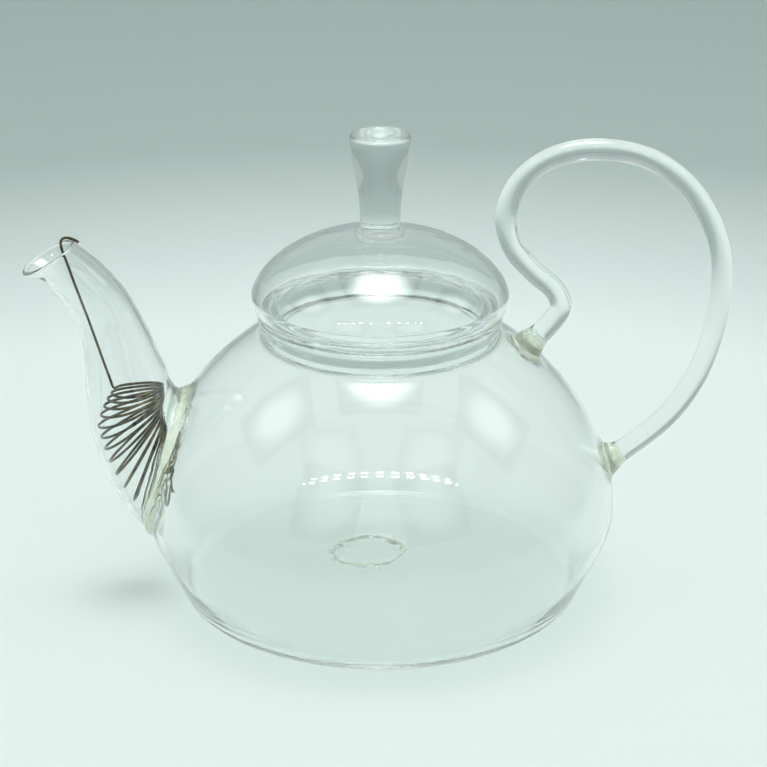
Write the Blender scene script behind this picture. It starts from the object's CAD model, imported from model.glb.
import math

import bmesh
import bpy
from mathutils import Matrix, Vector
from mathutils.kdtree import KDTree


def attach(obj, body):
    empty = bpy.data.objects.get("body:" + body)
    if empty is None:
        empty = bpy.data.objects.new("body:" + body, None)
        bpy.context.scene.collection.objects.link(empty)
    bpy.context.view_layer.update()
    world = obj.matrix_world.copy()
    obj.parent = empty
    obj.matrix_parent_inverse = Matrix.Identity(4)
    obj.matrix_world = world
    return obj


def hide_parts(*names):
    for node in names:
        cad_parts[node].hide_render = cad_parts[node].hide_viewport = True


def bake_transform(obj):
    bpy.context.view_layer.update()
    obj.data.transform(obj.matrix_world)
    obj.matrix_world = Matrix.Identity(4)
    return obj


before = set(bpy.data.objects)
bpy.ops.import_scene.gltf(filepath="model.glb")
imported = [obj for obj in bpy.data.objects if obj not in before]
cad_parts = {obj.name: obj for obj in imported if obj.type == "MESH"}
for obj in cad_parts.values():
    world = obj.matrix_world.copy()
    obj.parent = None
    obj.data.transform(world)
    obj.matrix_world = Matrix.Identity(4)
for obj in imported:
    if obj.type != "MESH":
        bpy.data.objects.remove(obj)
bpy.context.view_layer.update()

print("glass teapot: frame loaded")

# Camera first: a long lens looking a little down at the pot's spout side on the left.
camera = {
    "place": (0.001, -0.7316, 0.3688),
    "tilt": 67.6,
    "lens": 120.3,
}

eye = bpy.data.objects.new("camera", bpy.data.cameras.new("camera"))
eye.data.lens = camera["lens"]
eye.data.sensor_width = 36.0
eye.location = camera["place"]
eye.rotation_euler = (math.radians(camera["tilt"]), 0.0, 0.0)
bpy.context.scene.collection.objects.link(eye)
bpy.context.scene.camera = eye
bpy.context.scene.view_settings.view_transform = "Standard"
# light crosses many skins of glass before it leaves the lid and the welds
bpy.context.scene.cycles.max_bounces = 32
bpy.context.scene.cycles.transmission_bounces = 32
bpy.context.scene.cycles.glossy_bounces = 32
bpy.context.scene.cycles.transparent_max_bounces = 32


def hexColour(code):
    # sRGB hex to the linear colour that the shaders take
    parts = [int(code[k:k + 2], 16) / 255 for k in (0, 2, 4)]
    linear = [p / 12.92 if p <= 0.04045 else ((p + 0.055) / 1.055) ** 2.4 for p in parts]
    return (*linear, 1.0)


def addNode(tree, kind, settings=None, links=None):
    # a key that names an input sets that socket, and any other key sets the node itself
    node = tree.nodes.new("ShaderNode" + kind)
    for key, value in (settings or {}).items():
        if isinstance(key, int) or key in node.inputs:
            node.inputs[key].default_value = value
        else:
            setattr(node, key, value)
    for key, source in (links or {}).items():
        tree.links.new(source, node.inputs[key])
    return node


def newMaterial(name):
    material = bpy.data.materials.new(name)
    material.use_nodes = True
    material.node_tree.nodes.clear()
    return material, material.node_tree


def perMetre(millimetres):
    # texture scale for a pattern that repeats every so many millimetres
    return 1000.0 / millimetres


# Borosilicate glass: clear with a faint grey-green cast in its thick edges. Each piece was worked
# hot, so the surface is fire-polished and very slightly wavy, with a rare seed and a trace of handling.
glassKinds = {
    "blown borosilicate glass": {
        "tint": "fcfefd", "clear": 0.988, "waveMm": 16.0, "waveDepthMm": 0.035, "rippleMm": 3.5,
        "rippleDepthMm": 0.0015, "seedMm": 13.0, "seedSize": 0.014, "smudge": 0.012,
    },
    "pressed borosilicate glass": {
        "tint": "fafdfc", "clear": 0.975, "waveMm": 9.0, "waveDepthMm": 0.060, "rippleMm": 2.4,
        "rippleDepthMm": 0.0020, "seedMm": 15.0, "seedSize": 0.012, "smudge": 0.010,
    },
    "drawn borosilicate rod": {
        "tint": "fafdfc", "clear": 1.0, "waveMm": 12.0, "waveDepthMm": 0.025, "rippleMm": 2.0,
        "rippleDepthMm": 0.0012, "seedMm": 17.0, "seedSize": 0.014, "smudge": 0.008,
    },
    "flame-worked borosilicate weld": {
        "tint": "eef4dc", "clear": 0.72, "waveMm": 4.0, "waveDepthMm": 0.060, "rippleMm": 1.3,
        "rippleDepthMm": 0.0060, "seedMm": 5.0, "seedSize": 0.030, "smudge": 0.015,
    },
    "flame-pierced borosilicate rim": {
        "tint": "6f7a74", "clear": 0.35, "waveMm": 3.0, "waveDepthMm": 0.030, "rippleMm": 0.8,
        "rippleDepthMm": 0.0060, "seedMm": 9.0, "seedSize": 0.010, "smudge": 0.200,
    },
}
# what a soft lamp's light keeps as it crosses one skin
thinTint = "f9fbfa"


def glassMaterial(name):
    kind = glassKinds[name]
    material, tree = newMaterial(name)
    place = addNode(tree, "TexCoord").outputs["Object"]
    stretched = addNode(tree, "Mapping", {"Scale": (1.0, 1.0, 1.9)}, {"Vector": place})
    wave = addNode(tree, "TexNoise", {"Scale": perMetre(kind["waveMm"]), "Detail": 1.0}, {"Vector": place})
    ripple = addNode(
        tree,
        "TexNoise",
        {"Scale": perMetre(kind["rippleMm"]), "Detail": 1.5},
        {"Vector": stretched.outputs[0]},
    )
    seeds = addNode(tree, "TexVoronoi", {"Scale": perMetre(kind["seedMm"])}, {"Vector": place})
    seedDot = addNode(
        tree,
        "MapRange",
        {"From Min": kind["seedSize"] * 0.5, "From Max": kind["seedSize"], "To Min": 1.0, "To Max": 0.0},
        {"Value": seeds.outputs["Distance"]},
    )
    waveBump = addNode(
        tree, "Bump", {"Strength": 1.0, "Distance": kind["waveDepthMm"] / 1000}, {"Height": wave.outputs[0]}
    )
    rippleBump = addNode(
        tree,
        "Bump",
        {"Strength": 1.0, "Distance": kind["rippleDepthMm"] / 1000},
        {"Height": ripple.outputs[0], "Normal": waveBump.outputs[0]},
    )
    seedBump = addNode(
        tree,
        "Bump",
        {"Strength": 0.6, "Distance": 0.0001},
        {"Height": seedDot.outputs[0], "Normal": rippleBump.outputs[0]},
    )
    colour = addNode(
        tree,
        "MixRGB",
        {"Color1": hexColour(kind["tint"]), "Color2": hexColour("8a8f8a")},
        {"Fac": seedDot.outputs[0]},
    )
    hands = addNode(tree, "TexNoise", {"Scale": perMetre(22.0), "Detail": 5.0}, {"Vector": place})
    smudge = addNode(
        tree,
        "MapRange",
        {"From Min": 0.52, "From Max": 0.74, "To Min": 0.0, "To Max": kind["smudge"]},
        {"Value": hands.outputs[0]},
    )
    glass = addNode(
        tree,
        "BsdfPrincipled",
        {"IOR": 1.473, "Transmission Weight": kind["clear"]},
        {"Base Color": colour.outputs[0], "Roughness": smudge.outputs[0], "Normal": seedBump.outputs[0]},
    )
    # soft lamplight passes through clear glass, so it leaves only a faint shade on the floor
    through = addNode(tree, "BsdfTransparent", {"Color": hexColour(thinTint)})
    rays = addNode(tree, "LightPath")
    soft = addNode(
        tree,
        "Math",
        {"operation": "MAXIMUM"},
        {0: rays.outputs["Is Shadow Ray"], 1: rays.outputs["Is Diffuse Ray"]},
    )
    both = addNode(tree, "MixShader", None, {0: soft.outputs[0], 1: glass.outputs[0], 2: through.outputs[0]})
    addNode(tree, "OutputMaterial", None, {"Surface": both.outputs[0]})
    return material


# Stainless spring wire: drawn, so it has fine lines along it and a dull gleam, and it has gone
# grey-brown with tea and flame.
wireFinish = {"bright": "7d7250", "dull": "1e1c18", "stainMm": 5.0, "lineMm": 0.25, "roughness": 0.29}


def wireMaterial():
    material, tree = newMaterial("drawn stainless spring wire")
    place = addNode(tree, "TexCoord").outputs["Object"]
    stain = addNode(
        tree, "TexNoise", {"Scale": perMetre(wireFinish["stainMm"]), "Detail": 4.0}, {"Vector": place}
    )
    ramp = addNode(tree, "ValToRGB", None, {"Fac": stain.outputs[0]})
    ramp.color_ramp.elements[0].position = 0.36
    ramp.color_ramp.elements[0].color = hexColour(wireFinish["dull"])
    ramp.color_ramp.elements[1].position = 0.68
    ramp.color_ramp.elements[1].color = hexColour(wireFinish["bright"])
    # drawing lines are finer than this on the real wire; they are drawn this coarse so that they show
    lines = addNode(
        tree, "TexNoise", {"Scale": perMetre(wireFinish["lineMm"]), "Detail": 2.0}, {"Vector": place}
    )
    bump = addNode(tree, "Bump", {"Strength": 0.35, "Distance": 0.00002}, {"Height": lines.outputs[0]})
    gloss = addNode(
        tree,
        "MapRange",
        {"To Min": wireFinish["roughness"] - 0.08, "To Max": wireFinish["roughness"] + 0.14},
        {"Value": stain.outputs[0]},
    )
    metal = addNode(
        tree,
        "BsdfPrincipled",
        {"Metallic": 1.0},
        {"Base Color": ramp.outputs[0], "Roughness": gloss.outputs[0], "Normal": bump.outputs[0]},
    )
    addNode(tree, "OutputMaterial", None, {"Surface": metal.outputs[0]})
    return material


def smoothLine(points, spans):
    # a Catmull-Rom line through the points
    points = [Vector(p) for p in points]
    ends = [2 * points[0] - points[1]] + points + [2 * points[-1] - points[-2]]
    line = []
    for a, b, c, d in zip(ends, ends[1:], ends[2:], ends[3:]):
        for step in range(spans):
            t = step / spans
            bend = (2 * a - 5 * b + 4 * c - d) * t * t
            twist = (3 * b - a - 3 * c + d) * t**3
            line.append(0.5 * (2 * b + (c - a) * t + bend + twist))
    return line + [points[-1]]


def bezierLine(a, b, c, d, steps):
    # points of a cubic from a towards d, without d itself
    a, b, c, d = (Vector(p) for p in (a, b, c, d))
    shares = (step / steps for step in range(steps))
    return [a * (1 - t) ** 3 + b * 3 * t * (1 - t) ** 2 + c * 3 * t * t * (1 - t) + d * t**3 for t in shares]


def insetLine(line, wall):
    # the same (radius, height) line moved in by the wall; outwards is to the left of its run
    moved = []
    for k, point in enumerate(line):
        run = line[min(k + 1, len(line) - 1)] - line[max(k - 1, 0)]
        outwards = Vector((-run.y, run.x)).normalized()
        inner = point - outwards * wall(point)
        moved.append(Vector((max(0.0, inner.x), inner.y)))
    return moved


def pieceMark(name):
    # a stand-in material that remembers which piece a face came from through the joining
    return bpy.data.materials.get("mark " + name) or bpy.data.materials.new("mark " + name)


def ringMesh(name, rings, marks, looped=False):
    # a closed skin over rings of points; a ring of one point closes an end
    work = bmesh.new()
    grid = [[work.verts.new(point) for point in ring] for ring in rings]
    spans = list(zip(grid, grid[1:], marks))
    if looped:
        spans.append((grid[-1], grid[0], marks[-1]))
    names = sorted(set(marks))
    for low, high, mark in spans:
        sides = max(len(low), len(high))
        if sides == 1:
            continue
        for k in range(sides):
            j = (k + 1) % sides
            corners = [low[k % len(low)], low[j % len(low)], high[j % len(high)], high[k % len(high)]]
            face = work.faces.new(list(dict.fromkeys(corners)))
            face.smooth = True
            face.material_index = names.index(mark)
    bmesh.ops.recalc_face_normals(work, faces=work.faces)
    if work.calc_volume(signed=True) < 0:
        bmesh.ops.reverse_faces(work, faces=work.faces)
    mesh = bpy.data.meshes.new(name)
    work.to_mesh(mesh)
    work.free()
    for mark in names:
        mesh.materials.append(pieceMark(mark))
    thing = bpy.data.objects.new(name, mesh)
    bpy.context.scene.collection.objects.link(thing)
    return thing


def turnedMesh(name, sections, steps, looped=False):
    # each section is (piece, [(radius, height), ...]), and they follow on from each other
    rings, marks = [], []
    angles = [2 * math.pi * k / steps for k in range(steps)]
    for mark, line in sections:
        for radius, height in line:
            if radius < 1e-6:
                rings.append([(0.0, 0.0, height)])
            else:
                rings.append([(radius * math.cos(a), radius * math.sin(a), height) for a in angles])
            marks.append(mark)
    return ringMesh(name, rings, marks, looped)


def sweptMesh(name, line, radii, sides, marks, middle=None):
    # a round bar along a line; with a middle point the line is a loop round it
    rings = []
    side = Vector((0.0, 1.0, 0.0))
    last = len(line) - 1
    for k, point in enumerate(line):
        if middle is None:
            along = line[min(k + 1, last)] - line[max(k - 1, 0)]
        else:
            along = line[(k + 1) % len(line)] - line[k - 1]
            side = point - middle
        along.normalize()
        side = (side - along * side.dot(along)).normalized()
        across = along.cross(side)
        turns = (2 * math.pi * s / sides for s in range(sides))
        rings.append([point + radii[k] * (side * math.cos(t) + across * math.sin(t)) for t in turns])
    if middle is None:
        rings = [[line[0]]] + rings + [[line[-1]]]
        marks = [marks[0]] + marks + [marks[-1]]
    return ringMesh(name, rings, marks, looped=middle is not None)


def joinInto(thing, other, operation):
    # adds or takes away the other solid, which is then gone
    step = thing.modifiers.new(operation, "BOOLEAN")
    step.operation = operation
    step.solver = "EXACT"
    step.material_mode = "TRANSFER"
    step.object = other
    bpy.context.view_layer.update()
    graph = bpy.context.evaluated_depsgraph_get()
    mesh = bpy.data.meshes.new_from_object(thing.evaluated_get(graph))
    thing.modifiers.clear()
    thing.data = mesh
    bpy.data.objects.remove(other)


# how far the flame melts the skin each side of a seam, and how small a sliver of it is closed up
seamMelt = {"spoutReach": 0.0042, "handleReach": 0.0075, "rounds": 6, "sliver": 0.0004}


def softenSeams(thing, seams, rounds):
    # melts the skin near each (points, reach) seam, as the flame does
    work = bmesh.new()
    work.from_mesh(thing.data)
    bmesh.ops.remove_doubles(work, verts=work.verts, dist=0.00001)
    def nearVerts():
        near = set()
        for points, reach in seams:
            tree = KDTree(len(points))
            for k, point in enumerate(points):
                tree.insert(point, k)
            tree.balance()
            near |= {v for v in work.verts if tree.find(v.co)[2] < reach}
        return list(near)

    # the cut leaves slivers, which would scatter the light: they are closed up and evened out first
    near = nearVerts()
    bmesh.ops.dissolve_degenerate(
        work, dist=seamMelt["sliver"], edges=list({e for v in near for e in v.link_edges})
    )
    near = nearVerts()
    ragged = {f for v in near for f in v.link_faces} | {f for f in work.faces if len(f.verts) > 4}
    bmesh.ops.triangulate(work, faces=list(ragged))
    edges = list({e for v in near for e in v.link_edges})
    faces = list({f for v in near for f in v.link_faces})
    bmesh.ops.beautify_fill(work, faces=faces, edges=edges, method="ANGLE")
    near = nearVerts()
    for _ in range(rounds):
        bmesh.ops.smooth_vert(
            work, verts=list(near), factor=0.5, use_axis_x=True, use_axis_y=True, use_axis_z=True
        )
    bmesh.ops.recalc_face_normals(work, faces=work.faces)
    work.to_mesh(thing.data)
    work.free()
    thing.data.polygons.foreach_set("use_smooth", [True] * len(thing.data.polygons))


def partPieces(thing, body, finishes):
    # parts the joined glass into its named pieces, which keep the joined skin's smoothness at their edges
    mesh = thing.data
    mesh.update()
    normals = [vertex.normal.copy() for vertex in mesh.vertices]
    slots = [material.name.replace("mark ", "") for material in mesh.materials]
    for node, finish in finishes.items():
        own = [p for p in mesh.polygons if slots[p.material_index] in (node, node + " rim")]
        faces = [list(p.vertices) for p in own]
        used = sorted({v for face in faces for v in face})
        place = {v: k for k, v in enumerate(used)}
        piece = bpy.data.meshes.new(node + "_glass")
        piece.from_pydata([mesh.vertices[v].co for v in used], [], [[place[v] for v in f] for f in faces])
        piece.polygons.foreach_set("use_smooth", [True] * len(faces))
        piece.normals_split_custom_set_from_vertices([normals[v] for v in used])
        piece.materials.append(finish)
        piece.materials.append(piercedRim)
        piece.polygons.foreach_set("material_index", [int(slots[p.material_index] != node) for p in own])
        piece = bpy.data.objects.new(node + "_glass", piece)
        bpy.context.scene.collection.objects.link(piece)
        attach(piece, body)
        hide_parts(node)
    bpy.data.objects.remove(thing)


# Bowl: blown in a mould, widest low down, with a flat base that is a little thicker than its sides.
bowl = {
    "radius": 0.0730, "widestZ": 0.0283, "domeHeight": 0.0683, "domePower": 1.8, "wall": 0.0017,
    "baseWall": 0.0025, "footRadius": 0.0580, "heelRadius": 0.0630, "heelZ": 0.0030, "bore": 0.0340,
    "steps": 208,
}


def domeHeight(radius):
    share = (radius / bowl["radius"]) ** bowl["domePower"]
    return bowl["widestZ"] + bowl["domeHeight"] * max(0.0, 1 - share) ** (1 / bowl["domePower"])


def bowlLine(start):
    # the bowl's outer side from a radius on its shoulder down to the centre of its base
    power = 2 / bowl["domePower"]
    end = math.acos((start / bowl["radius"]) ** (1 / power))
    line = []
    for step in range(44):
        t = end * (1 - step / 44)
        rise = bowl["domeHeight"] * math.sin(t) ** power
        line.append(Vector((bowl["radius"] * math.cos(t) ** power, bowl["widestZ"] + rise)))
    wide, heel, heelZ, foot = bowl["radius"], bowl["heelRadius"], bowl["heelZ"], bowl["footRadius"]
    low = bowl["widestZ"]
    line += bezierLine((wide, low), (wide, low * 0.74), (heel + 0.0035, heelZ + 0.0085), (heel, heelZ), 22)
    line += bezierLine((heel, heelZ), (heel - 0.0009, heelZ * 0.3), (heel - 0.0025, 0.0), (foot, 0.0), 10)
    line += [Vector((foot * (1 - k / 12), 0.0)) for k in range(12)]
    return line + [Vector((0.0, 0.0))]


def bowlWall(point):
    share = min(1.0, max(0.0, 1 - point.y / 0.014))
    return bowl["wall"] + (bowl["baseWall"] - bowl["wall"]) * share * share


def bowlRadiusAt(z, grow=0.0):
    line = bowlOuter
    for upper, lower in zip(line, line[1:]):
        if lower.y <= z <= upper.y and upper.y > lower.y:
            return lower.x + (z - lower.y) / (upper.y - lower.y) * (upper.x - lower.x) + grow
    return 0.0


bowlOuter = bowlLine(bowl["bore"])

# Neck collar: the thick ring round the mouth, flared to carry the lid.
collar = {"wall": 0.0018, "flare": 0.0035, "height": 0.0058}
collarFoot = domeHeight(bowl["bore"] + collar["wall"])
collarTop = collarFoot + collar["height"]


def collarLine():
    # up the bore's edge, over the rim and down the flared outer side onto the shoulder
    bore, top = bowl["bore"], collarTop
    rim = bore + collar["flare"]
    outer = bore + collar["wall"]
    line = bezierLine((bore, top - 0.0009), (bore, top), (bore, top), (bore + 0.0009, top), 7)
    line += bezierLine((bore + 0.0009, top), (rim - 0.0016, top), (rim - 0.0014, top), (rim - 0.0010, top), 3)
    line += bezierLine((rim - 0.0010, top), (rim, top), (rim, top - 0.0003), (rim, top - 0.0010), 8)
    foot = (outer + 0.0012, domeHeight(outer + 0.0012))
    return line + bezierLine(
        (rim, top - 0.0010), (rim - 0.0006, top - 0.0032), (outer, collarFoot + 0.0012), foot, 14
    )


def buildPotShell():
    outer = bowlLine(bowl["bore"] + collar["wall"] + 0.0012)
    inner = insetLine(outer, bowlWall)[::-1]
    inner = [p for p in inner if p.x > bowl["bore"] + 0.0012 or p.y < 0.05]
    last = inner[-1]
    throat = bezierLine(
        last, last + (last - inner[-2]) * 1.4, (bowl["bore"], last.y + 0.0004), (bowl["bore"], last.y + 0.0020), 8
    )
    collarSide = [Vector((bowl["bore"], collarTop - 0.0009 - 0.0009 * k)) for k in (4, 3, 2, 1)]
    collarSide = [p for p in collarSide if p.y > last.y + 0.0022]
    sections = [
        ("neck_collar", collarLine()),
        ("bowl", outer + inner[:-1] + throat),
        ("neck_collar", [Vector((bowl["bore"], last.y + 0.0020))] + collarSide),
    ]
    return turnedMesh("pot", sections, bowl["steps"], looped=True)


# Spout: drawn out from the shoulder, full at its root and narrow at its lip.
# Its rear and front edges are (out from the bowl's widest radius, up from its widest height).
spout = {
    "rear": (
        (-0.0210, 0.0328), (-0.0113, 0.0351), (-0.0080, 0.0388), (-0.0066, 0.0438), (-0.0046, 0.0491),
        (-0.0021, 0.0560), (0.0007, 0.0625), (0.0036, 0.0681), (0.0073, 0.0733), (0.0117, 0.0780),
        (0.0161, 0.0819), (0.0192, 0.0848),
    ),
    "front": (
        (-0.0108, -0.0107), (-0.0011, -0.0084), (0.0047, -0.0031), (0.0115, 0.0079), (0.0162, 0.0226),
        (0.0178, 0.0375), (0.0182, 0.0510), (0.0195, 0.0585), (0.0223, 0.0640), (0.0260, 0.0692),
        (0.0297, 0.0736), (0.0354, 0.0754),
    ),
    "wall": 0.0014, "seam": 0.0017, "sides": 80, "spans": 7,
}


def spoutPlace(pair):
    return Vector((-(bowl["radius"] + pair[0]), 0.0, bowl["widestZ"] + pair[1]))


def spoutStations(spans):
    # centre, direction across and radius of each round section
    rear = smoothLine([spoutPlace(p) for p in spout["rear"]], spans)
    front = smoothLine([spoutPlace(p) for p in spout["front"]], spans)
    return [((r + f) / 2, (f - r).normalized(), (f - r).length / 2) for r, f in zip(rear, front)]


def sectionRing(station, inset, sides):
    centre, across, radius = station
    turns = (2 * math.pi * k / sides for k in range(sides))
    sideways = Vector((0.0, 1.0, 0.0))
    return [centre + (radius - inset) * (across * math.cos(t) + sideways * math.sin(t)) for t in turns]


def buildSpout():
    stations = spoutStations(spout["spans"])
    wall, sides = spout["wall"], spout["sides"]
    outer = [sectionRing(s, 0.0, sides) for s in stations]
    inner = [sectionRing(s, wall, sides) for s in reversed(stations)]
    across = stations[-1][1]
    along = Vector((across.z, 0.0, -across.x))
    along *= 1 if along.z > 0 else -1
    lip = []
    for step in range(1, 8):
        t = math.pi * step / 8
        inset = wall / 2 * (1 - math.cos(t))
        lip.append([p + along * wall * 0.42 * math.sin(t) for p in sectionRing(stations[-1], inset, sides)])
    rings = outer + lip + inner
    return ringMesh("spout", rings, ["spout"] * len(rings), looped=True)


def buildSpoutBore():
    stations = spoutStations(spout["spans"])[: 4 * spout["spans"] + 1]
    rings = [sectionRing(s, spout["wall"] + 0.00015, spout["sides"]) for s in stations]
    rings = [[stations[0][0]]] + rings + [[stations[-1][0]]]
    return ringMesh("spout_bore", rings, ["bowl"] * len(rings))


def spoutSeam():
    # where the spout's skin comes out through the bowl's, once round
    rings = [sectionRing(s, -0.0003, spout["sides"]) for s in spoutStations(24)]
    seam = []
    for k in range(spout["sides"]):
        track = [ring[k] for ring in rings]
        for inside, outside in zip(track, track[1:]):
            if math.hypot(outside.x, outside.y) > bowlRadiusAt(outside.z, 0.0003):
                seam.append(inside.lerp(outside, 0.5))
                break
    return seam


# Handle: a solid rod, bent in one plane and gathered where it is fused to the bowl at each end.
handle = {
    "path": (
        (-0.0090, 0.0085), (-0.0022, 0.0135), (0.0066, 0.0197), (0.0165, 0.0290), (0.0243, 0.0415),
        (0.0290, 0.0570), (0.0308, 0.0740), (0.0283, 0.0880), (0.0196, 0.1025), (0.0070, 0.1115),
        (-0.0074, 0.1143), (-0.0210, 0.1120), (-0.0310, 0.1045), (-0.0352, 0.0940), (-0.0330, 0.0838),
        (-0.0270, 0.0762), (-0.0202, 0.0700), (-0.0180, 0.0645), (-0.0210, 0.0590), (-0.0270, 0.0525),
        (-0.0340, 0.0450),
    ),
    "radius": 0.0033, "gather": 0.0019, "gatherReach": 0.0030, "weldReach": 0.0042, "sides": 40, "spans": 9,
}


def buildHandle():
    path = [Vector((bowl["radius"] + x, 0.0, bowl["widestZ"] + z)) for x, z in handle["path"]]
    line = smoothLine(path, handle["spans"])
    outside = [k for k, p in enumerate(line) if p.x > bowlRadiusAt(p.z) or p.z > collarTop]
    lowEnd, highEnd = line[outside[0]], line[outside[-1]]
    radii, marks = [], []
    for k, point in enumerate(line):
        fromLow = 0.0 if k < outside[0] else (point - lowEnd).length
        fromHigh = 0.0 if k > outside[-1] else (point - highEnd).length
        near = min(fromLow, fromHigh)
        radii.append(handle["radius"] + handle["gather"] * math.exp(-((near / handle["gatherReach"]) ** 2)))
        if near > handle["weldReach"]:
            marks.append("handle")
        else:
            marks.append("handle_lower_weld" if fromLow < fromHigh else "handle_upper_weld")
    return sweptMesh("handle", line, radii, handle["sides"], marks), lowEnd, highEnd


# Pontil scar: the low ring left on the inside of the base.
scar = {
    "radius": 0.0110, "bead": 0.0004, "centre": (-0.0040, 0.0150), "oval": 0.05, "wobble": 0.03,
    "swell": 0.35, "points": 96, "sides": 12,
}


def buildScar():
    middle = Vector((*scar["centre"], bowl["baseWall"]))
    line, radii = [], []
    for k in range(scar["points"]):
        a = 2 * math.pi * k / scar["points"]
        reach = scar["radius"] * (1 + scar["oval"] * math.sin(2 * a + 0.6) + scar["wobble"] * math.sin(5 * a))
        line.append(middle + Vector((reach * math.cos(a), reach * math.sin(a), 0.0)))
        radii.append(scar["bead"] * (1 + scar["swell"] * math.sin(3 * a + 1.1)))
    return sweptMesh("scar", line, radii, scar["sides"], ["pontil_scar"] * scar["points"], middle)


def buildPot(finishes):
    pot = buildPotShell()
    joinInto(pot, buildSpoutBore(), "DIFFERENCE")
    midWall = insetLine(bowlLine(bowl["bore"] + 0.0002), lambda point: bowlWall(point) * 0.55)
    midWall = [Vector((0.0, midWall[0].y))] + midWall
    root = buildSpout()
    joinInto(root, turnedMesh("bowl_room", [("spout", midWall)], bowl["steps"]), "DIFFERENCE")
    joinInto(pot, root, "UNION")
    seam = spoutSeam()
    middle = sum(seam, Vector()) / len(seam)
    bead = sweptMesh("seam", seam, [spout["seam"]] * len(seam), 16, ["spout_weld"] * len(seam), middle)
    joinInto(pot, bead, "UNION")
    rod, lowEnd, highEnd = buildHandle()
    joinInto(rod, turnedMesh("bowl_room", [("handle", midWall)], bowl["steps"]), "DIFFERENCE")
    joinInto(pot, rod, "UNION")
    joinInto(pot, buildScar(), "UNION")
    seams = [(seam, seamMelt["spoutReach"]), ([lowEnd, highEnd], seamMelt["handleReach"])]
    softenSeams(pot, seams, seamMelt["rounds"])
    partPieces(pot, "pot", finishes)


# Lid: a flattened dome rolled in under its shoulder, a tapered flange below and a solid knob on top.
lid = {
    "overhang": 0.0052, "shoulder": 0.0058, "rise": 0.0192, "powers": (2.2, 1.55), "wall": 0.0021,
    "flangeDepth": 0.0062, "flangeWall": 0.0018, "flangeTaper": 0.0016, "flangeClearance": 0.0010,
    "gap": 0.0003, "knobHeight": 0.0310, "knobWaist": 0.0060, "knobTop": 0.0092, "dimple": 0.0006,
    "bead": 0.0012, "ventRadius": 0.0013, "ventInset": 0.0079, "ventTurn": 28.6, "steps": 176,
}
lidSeat = collarTop + lid["gap"]
lidWide = bowl["bore"] + lid["overhang"]


def lidDomeHeight(radius):
    around, upward = lid["powers"]
    share = max(0.0, 1 - (radius / lidWide) ** around)
    return lidSeat + lid["shoulder"] + lid["rise"] * share ** (1 / upward)


def knobLine():
    base = lidDomeHeight(0.0)
    top = base + lid["knobHeight"]
    wide, waist, tall = lid["knobTop"], lid["knobWaist"], lid["knobHeight"]
    dip = top - lid["dimple"]
    line = bezierLine((0.0, dip), (wide * 0.4, dip), (wide * 0.6, top), (wide * 0.8, top), 9)
    line += bezierLine((wide * 0.8, top), (wide * 0.95, top), (wide, top - 0.0004), (wide, top - 0.0016), 9)
    line += bezierLine(
        (wide, top - 0.0016), (wide - 0.0006, top - tall * 0.36),
        (waist, top - tall * 0.52), (waist, base + 0.0018), 26,
    )
    return line


def lidShellLine():
    # the dome from the knob's foot out and down to where the shoulder starts
    around, upward = (2 / power for power in lid["powers"])
    foot = lid["knobWaist"] + lid["bead"] * 1.7
    start = math.acos((foot / lidWide) ** (1 / around))
    line = []
    for step in range(46):
        t = start * (1 - step / 46)
        rise = lid["rise"] * math.sin(t) ** upward
        line.append(Vector((lidWide * math.cos(t) ** around, lidSeat + lid["shoulder"] + rise)))
    return line


def lidUnderLine():
    wide, under = lidWide, lid["shoulder"]
    return bezierLine(
        (wide, lidSeat + under), (wide, lidSeat + under * 0.38),
        (wide - 0.0012, lidSeat), (wide - 0.0036, lidSeat), 20,
    )


def flangeLine():
    wide = bowl["bore"] - lid["flangeClearance"]
    narrow = wide - lid["flangeTaper"]
    low = lidSeat - lid["gap"] * 2 - lid["flangeDepth"]
    half = lid["flangeWall"] / 2
    line = bezierLine((wide + 0.0010, lidSeat), (wide, lidSeat), (wide, lidSeat), (wide, lidSeat - 0.0012), 6)
    line += bezierLine(
        (wide, lidSeat - 0.0012), (wide, lidSeat - 0.0030), (narrow, low + 0.0020), (narrow, low + half), 8
    )
    for step in range(11):
        t = math.pi * step / 10
        line.append(Vector((narrow - half + half * math.cos(t), low + half - half * math.sin(t))))
    inside = wide - lid["flangeWall"]
    line += bezierLine(
        (narrow - 2 * half, low + half), (narrow - 2 * half, low + 0.0030), (inside, lidSeat - 0.0020),
        (inside, lidSeat + 0.0010), 10,
    )
    return line


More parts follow.
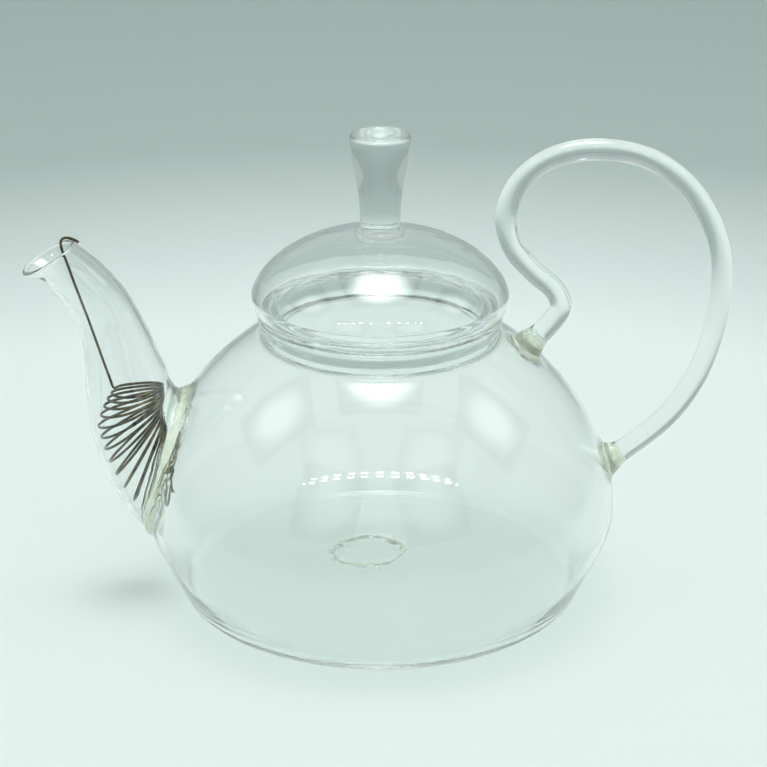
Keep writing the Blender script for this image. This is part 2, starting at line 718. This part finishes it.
def buildLid(finishes):
    shell = lidShellLine()
    under = lidUnderLine()
    base = lidDomeHeight(0.0)
    waist, bead = lid["knobWaist"], lid["bead"]
    weld = bezierLine(
        (waist, base + 0.0018), (waist, base + 0.0009), (waist + bead, base + 0.0012), (waist + bead, base), 9
    )
    weld += bezierLine(
        (waist + bead, base), (waist + bead, base - 0.0007), (waist + bead * 1.2, shell[0].y + 0.0001), shell[0], 6
    )
    centre = [Vector((radius, lidDomeHeight(radius))) for radius in (0.0, 0.0015, 0.0030, 0.0045, 0.0060)]
    inner = insetLine(centre + shell + under, lambda point: lid["wall"])[::-1]
    inner = [p for p in inner if p.y > lidSeat + lid["wall"] * 0.999 or p.x < 0.03]
    inside = bowl["bore"] - lid["flangeClearance"] - lid["flangeWall"]
    lip = bezierLine(
        (inside, lidSeat + 0.0010), (inside, lidSeat + 0.0021), (inside + 0.0006, lidSeat + lid["wall"]), inner[0], 7
    )
    inner[-1] = Vector((0.0, inner[-1].y))
    sections = [
        ("lid_knob", knobLine()),
        ("lid_knob_weld", weld),
        ("lid_dome", shell + under),
        ("lid_flange", flangeLine()),
        ("lid_dome", lip + inner),
    ]
    glass = turnedMesh("lid", sections, lid["steps"])
    place = lidWide - lid["ventInset"]
    slope = math.atan2(lidDomeHeight(place - 0.001) - lidDomeHeight(place + 0.001), 0.002)
    angles = [2 * math.pi * k / 28 for k in range(28)]
    radius = lid["ventRadius"]
    rings = [[(radius * w * math.cos(a), radius * w * math.sin(a), z) for a in angles] for w, z in
             ((1.45, 0.0012), (1.12, -0.0001), (1.0, -0.0006), (1.0, -0.0030), (1.1, -0.0040))]
    rings = [[(0.0, 0.0, 0.0012)]] + rings + [[(0.0, 0.0, -0.0040)]]
    vent = ringMesh("vent", rings, ["lid_dome rim"] * len(rings))
    turn = Matrix.Rotation(math.radians(lid["ventTurn"]), 4, "Z")
    seat = Matrix.Translation((place, 0.0, lidDomeHeight(place)))
    vent.matrix_world = turn @ seat @ Matrix.Rotation(slope, 4, "Y")
    joinInto(glass, vent, "DIFFERENCE")
    softenSeams(glass, [], 0)
    partPieces(glass, "lid", finishes)


# Strainer: one wire, hooked over the spout's rear lip, with a straight stem and a fanned coil.
strainer = {
    "wire": 0.00042, "stemTop": (0.0234, 0.0830), "stemBottom": (0.0095, 0.0380),
    "hook": ((0.0012, 0.0002), (-0.0004, 0.0012), (-0.0022, 0.0017), (-0.0037, 0.0013), (-0.0043, -0.0002)),
    "hinge": (-0.0050, 0.0388), "turns": 15, "reachTurns": 5.0, "firstSwing": 6.0, "fullSwing": 88.0,
    "fan": (1.15, 0.25), "pitch": 0.0009, "slide": 0.0010, "narrow": (0.68, 0.42), "lean": 0.22,
    "lastTurns": 2.0, "lastShrink": 0.35, "clearance": 0.0004, "turnPoints": 32, "sides": 12,
    "drawnTurns": 4,
}


def stemLine():
    # from the hook's tip behind the rear lip, over the rim and down the straight stem to the kink
    rear = spoutPlace(spout["rear"][-1])
    top, bottom = spoutPlace(strainer["stemTop"]), spoutPlace(strainer["stemBottom"])
    hook = [rear + Vector((x, 0.0, z)) for x, z in strainer["hook"]]
    straight = [top.lerp(bottom, share) for share in (0.04, 0.1, 0.25, 0.4, 0.55, 0.7, 0.85, 0.96)]
    kink = bottom + Vector((0.0009, 0.0, -0.0007))
    return smoothLine(hook + straight + [bottom, kink], 7)


def frontReach(start, heading, inner):
    # how far a turn may reach before it would touch the inside of the spout's front wall
    reaches = []
    for low, high in zip(inner, inner[1:]):
        edge = high - low
        cross = heading.x * edge.z - heading.z * edge.x
        if abs(cross) < 1e-12:
            continue
        offset = low - start
        reach = (offset.x * edge.z - offset.z * edge.x) / cross
        share = (offset.x * heading.z - offset.z * heading.x) / cross
        if reach > 0 and 0 <= share <= 1:
            reaches.append(reach)
    return max(reaches, default=0.030) - strainer["wire"] - strainer["clearance"]


def coilLine(kink):
    # each turn lies on the last at the rear hinge and swings further down, fanning out to the front wall
    hinge = spoutPlace(strainer["hinge"])
    sideways = Vector((0.0, 1.0, 0.0))
    turns, count = strainer["turns"], strainer["turnPoints"]
    step = 1 / count
    inner = [centre + across * (radius - spout["wall"]) for centre, across, radius in spoutStations(4)]
    short = (kink - hinge).length
    line = []
    for index in range(turns * count + 1):
        turn = index * step
        share = turn / turns
        late = share ** strainer["fan"][0]
        swing = strainer["fan"][1] * share + (1 - strainer["fan"][1]) * late * late * (3 - 2 * late)
        swing = math.radians(strainer["firstSwing"] + (strainer["fullSwing"] - strainer["firstSwing"]) * swing)
        heading = Vector((-math.cos(swing), 0.0, -math.sin(swing)))
        stacking = Vector((math.sin(swing), 0.0, -math.cos(swing)))
        grown = min(1.0, turn / strainer["reachTurns"])
        length = short + (frontReach(hinge, heading, inner) - short) * grown
        last = max(0.0, turn - turns + strainer["lastTurns"]) / strainer["lastTurns"]
        length *= 1 - strainer["lastShrink"] * last
        angle = 2 * math.pi * turn
        centre = hinge + heading * length / 2
        narrow = strainer["narrow"][0] + (strainer["narrow"][1] - strainer["narrow"][0]) * share
        aside = sideways * (narrow * math.sin(angle) - strainer["lean"] * math.sin(angle) ** 2)
        line.append(centre + (heading * math.cos(angle) + aside) * length / 2)
        hinge = hinge + stacking * strainer["pitch"] * step
        if turn > strainer["reachTurns"]:
            hinge = hinge + heading * strainer["slide"] * step
    return line


def buildWire(name, line):
    # a round wire with rounded ends
    radius = strainer["wire"]
    radii = [radius] * len(line)
    radii[0] = radii[-1] = radius * 0.55
    wire = sweptMesh(name, line, radii, strainer["sides"], ["wire"] * len(line))
    wire.data.materials.clear()
    wire.data.materials.append(wireMetal)
    return wire


def drawOut(count):
    # Only the small turns near the stem are drawn out.
    weights = []
    for k in range(count):
        t = max(0.0, 1 - k / strainer["turnPoints"] / strainer["drawnTurns"])
        weights += [t * t * (3 - 2 * t)] * strainer["sides"]
    weights = [weights[0]] + weights + [weights[-1]]


blown = glassMaterial("blown borosilicate glass")
pressed = glassMaterial("pressed borosilicate glass")
rod = glassMaterial("drawn borosilicate rod")
weld = glassMaterial("flame-worked borosilicate weld")
piercedRim = glassMaterial("flame-pierced borosilicate rim")
wireMetal = wireMaterial()
print("glass teapot: materials made")

buildPot({
    "bowl": blown, "neck_collar": pressed, "spout": blown, "spout_weld": weld, "handle": rod,
    "handle_lower_weld": weld, "handle_upper_weld": weld, "pontil_scar": weld,
})
print("glass teapot: pot blown and joined")

buildLid({"lid_knob": rod, "lid_knob_weld": pressed, "lid_dome": pressed, "lid_flange": pressed})
print("glass teapot: lid turned")

stemRoute = stemLine()
stem = buildWire("strainer_hook_stem_wire", stemRoute)
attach(stem, "strainer")
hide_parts("strainer_hook_stem")
coilRoute = coilLine(stemRoute[-1])
coil = buildWire("strainer_coil_wire", coilRoute)
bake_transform(coil)
drawOut(len(coilRoute))
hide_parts("strainer_coil")
print("glass teapot: strainer wound")

# Floor and light: a pale sheet under a bright soft room, darker far away.
studio = {
    "floorNear": "e4ecea", "floorFar": "a9b8b4", "nearReach": 0.240, "farReach": 0.47, "skyStrength": 0.80,
    "skyLow": "b4c2c0", "skyHigh": "dfe8e6", "floorRadii": (0.2, 0.5, 0.9, 1.4), "floorTop": -0.0004,
}
softboxes = {
    "overhead": {"place": (0.0, 0.12, 1.15), "size": (0.75, 0.90), "strength": 9.8},
    "side_left": {"place": (-1.05, 0.02, 1.15), "size": (0.80, 0.80), "strength": 2.0},
    "side_right": {"place": (1.10, 0.06, 1.05), "size": (0.80, 0.80), "strength": 2.0},
    "front_left": {"place": (-0.64, -1.15, 0.80), "size": (0.86, 0.95), "strength": 1.1},
    "front_right": {"place": (0.64, -1.15, 0.80), "size": (0.86, 0.95), "strength": 1.1},
}
strips = {
    "rows": (0.965, 1.02), "front": -0.88, "eachSide": 6, "spacing": 0.155, "halfLength": 0.04,
    "rise": 0.006, "lean": 0.005, "strength": 45.0,
}


def floorMaterial():
    material, tree = newMaterial("matt painted board")
    place = addNode(tree, "TexCoord").outputs["Object"]
    away = addNode(tree, "VectorMath", {"operation": "LENGTH"}, {0: place})
    share = addNode(
        tree,
        "MapRange",
        {"From Min": studio["nearReach"], "From Max": studio["farReach"]},
        {"Value": away.outputs["Value"]},
    )
    colour = addNode(
        tree,
        "MixRGB",
        {"Color1": hexColour(studio["floorNear"]), "Color2": hexColour(studio["floorFar"])},
        {"Fac": share.outputs[0]},
    )
    grain = addNode(tree, "TexNoise", {"Scale": perMetre(1.5), "Detail": 2.0}, {"Vector": place})
    bump = addNode(tree, "Bump", {"Strength": 0.1, "Distance": 0.0001}, {"Height": grain.outputs[0]})
    paint = addNode(
        tree, "BsdfPrincipled", {"Roughness": 0.55}, {"Base Color": colour.outputs[0], "Normal": bump.outputs[0]}
    )
    addNode(tree, "OutputMaterial", None, {"Surface": paint.outputs[0]})
    return material


def buildFloor():
    top = studio["floorTop"]
    angles = [2 * math.pi * k / 96 for k in range(96)]
    rings = [[(0.0, 0.0, top)]]
    for radius in studio["floorRadii"]:
        rings.append([(radius * math.cos(a), radius * math.sin(a), top) for a in angles])
    floor = ringMesh("floor", rings, ["floor"] * len(rings))
    floor.data.materials.clear()
    floor.data.materials.append(floorMaterial())


def glowMaterial(name, strength, size):
    # a softbox's cloth: brightest in the middle and fading roundly towards its edges
    material, tree = newMaterial(name)
    place = addNode(tree, "TexCoord").outputs["Object"]
    share = addNode(
        tree, "VectorMath", {"operation": "DIVIDE", 1: (size[0] / 2, size[1] / 2, 1.0)}, {0: place}
    )
    away = addNode(tree, "VectorMath", {"operation": "LENGTH"}, {0: share.outputs[0]})
    glow = addNode(
        tree,
        "MapRange",
        {"interpolation_type": "SMOOTHSTEP", "From Min": 1.0, "From Max": 0.3},
        {"Value": away.outputs["Value"]},
    )
    power = addNode(tree, "Math", {"operation": "MULTIPLY", 1: strength}, {0: glow.outputs[0]})
    light = addNode(tree, "Emission", {"Color": hexColour("fbfffe")}, {"Strength": power.outputs[0]})
    addNode(tree, "OutputMaterial", None, {"Surface": light.outputs[0]})
    return material


def addSoftbox(name, place, size, strength):
    wide, deep = size[0] / 2, size[1] / 2
    mesh = bpy.data.meshes.new(name)
    corners = [(-wide, -deep, 0), (wide, -deep, 0), (wide, deep, 0), (-wide, deep, 0)]
    mesh.from_pydata(corners, [], [(0, 1, 2, 3)])
    mesh.materials.append(glowMaterial(name + " cloth", strength, size))
    box = bpy.data.objects.new(name, mesh)
    box.location = place
    box.rotation_euler = (Vector((0.0, 0.0, 0.05)) - Vector(place)).to_track_quat("-Z", "Y").to_euler()
    bpy.context.scene.collection.objects.link(box)


def addStrips():
    # two rows of short bright lamps, in front of the pot and high up
    corners, faces = [], []
    half, near = strips["halfLength"], strips["front"]
    far = near + strips["lean"]
    for low in strips["rows"]:
        high = low + strips["rise"]
        for k in range(-strips["eachSide"], strips["eachSide"] + 1):
            x = k * strips["spacing"]
            faces.append([len(corners) + c for c in range(4)])
            corners += [(x - half, near, low), (x + half, near, low), (x + half, far, high), (x - half, far, high)]
    mesh = bpy.data.meshes.new("strips")
    mesh.from_pydata(corners, [], faces)
    material, tree = newMaterial("strip lamps")
    light = addNode(tree, "Emission", {"Color": hexColour("ffffff"), "Strength": strips["strength"]})
    addNode(tree, "OutputMaterial", None, {"Surface": light.outputs[0]})
    mesh.materials.append(material)
    lamps = bpy.data.objects.new("strips", mesh)
    bpy.context.scene.collection.objects.link(lamps)


buildFloor()
for name, softbox in softboxes.items():
    addSoftbox(name, softbox["place"], softbox["size"], softbox["strength"])
addStrips()

world = bpy.data.worlds.new("studio")
world.use_nodes = True
world.node_tree.nodes.clear()
sky = addNode(world.node_tree, "TexCoord").outputs["Generated"]
height = addNode(world.node_tree, "SeparateXYZ", None, {0: sky}).outputs["Z"]
shade = addNode(world.node_tree, "ValToRGB", None, {"Fac": height})
shade.color_ramp.elements[0].position = 0.0
shade.color_ramp.elements[0].color = hexColour(studio["skyLow"])
shade.color_ramp.elements[1].position = 0.75
shade.color_ramp.elements[1].color = hexColour(studio["skyHigh"])
glow = addNode(
    world.node_tree, "Background", {"Strength": studio["skyStrength"]}, {"Color": shade.outputs[0]}
)
addNode(world.node_tree, "OutputWorld", None, {"Surface": glow.outputs[0]})
bpy.context.scene.world = world
print("glass teapot: floor and lights set")
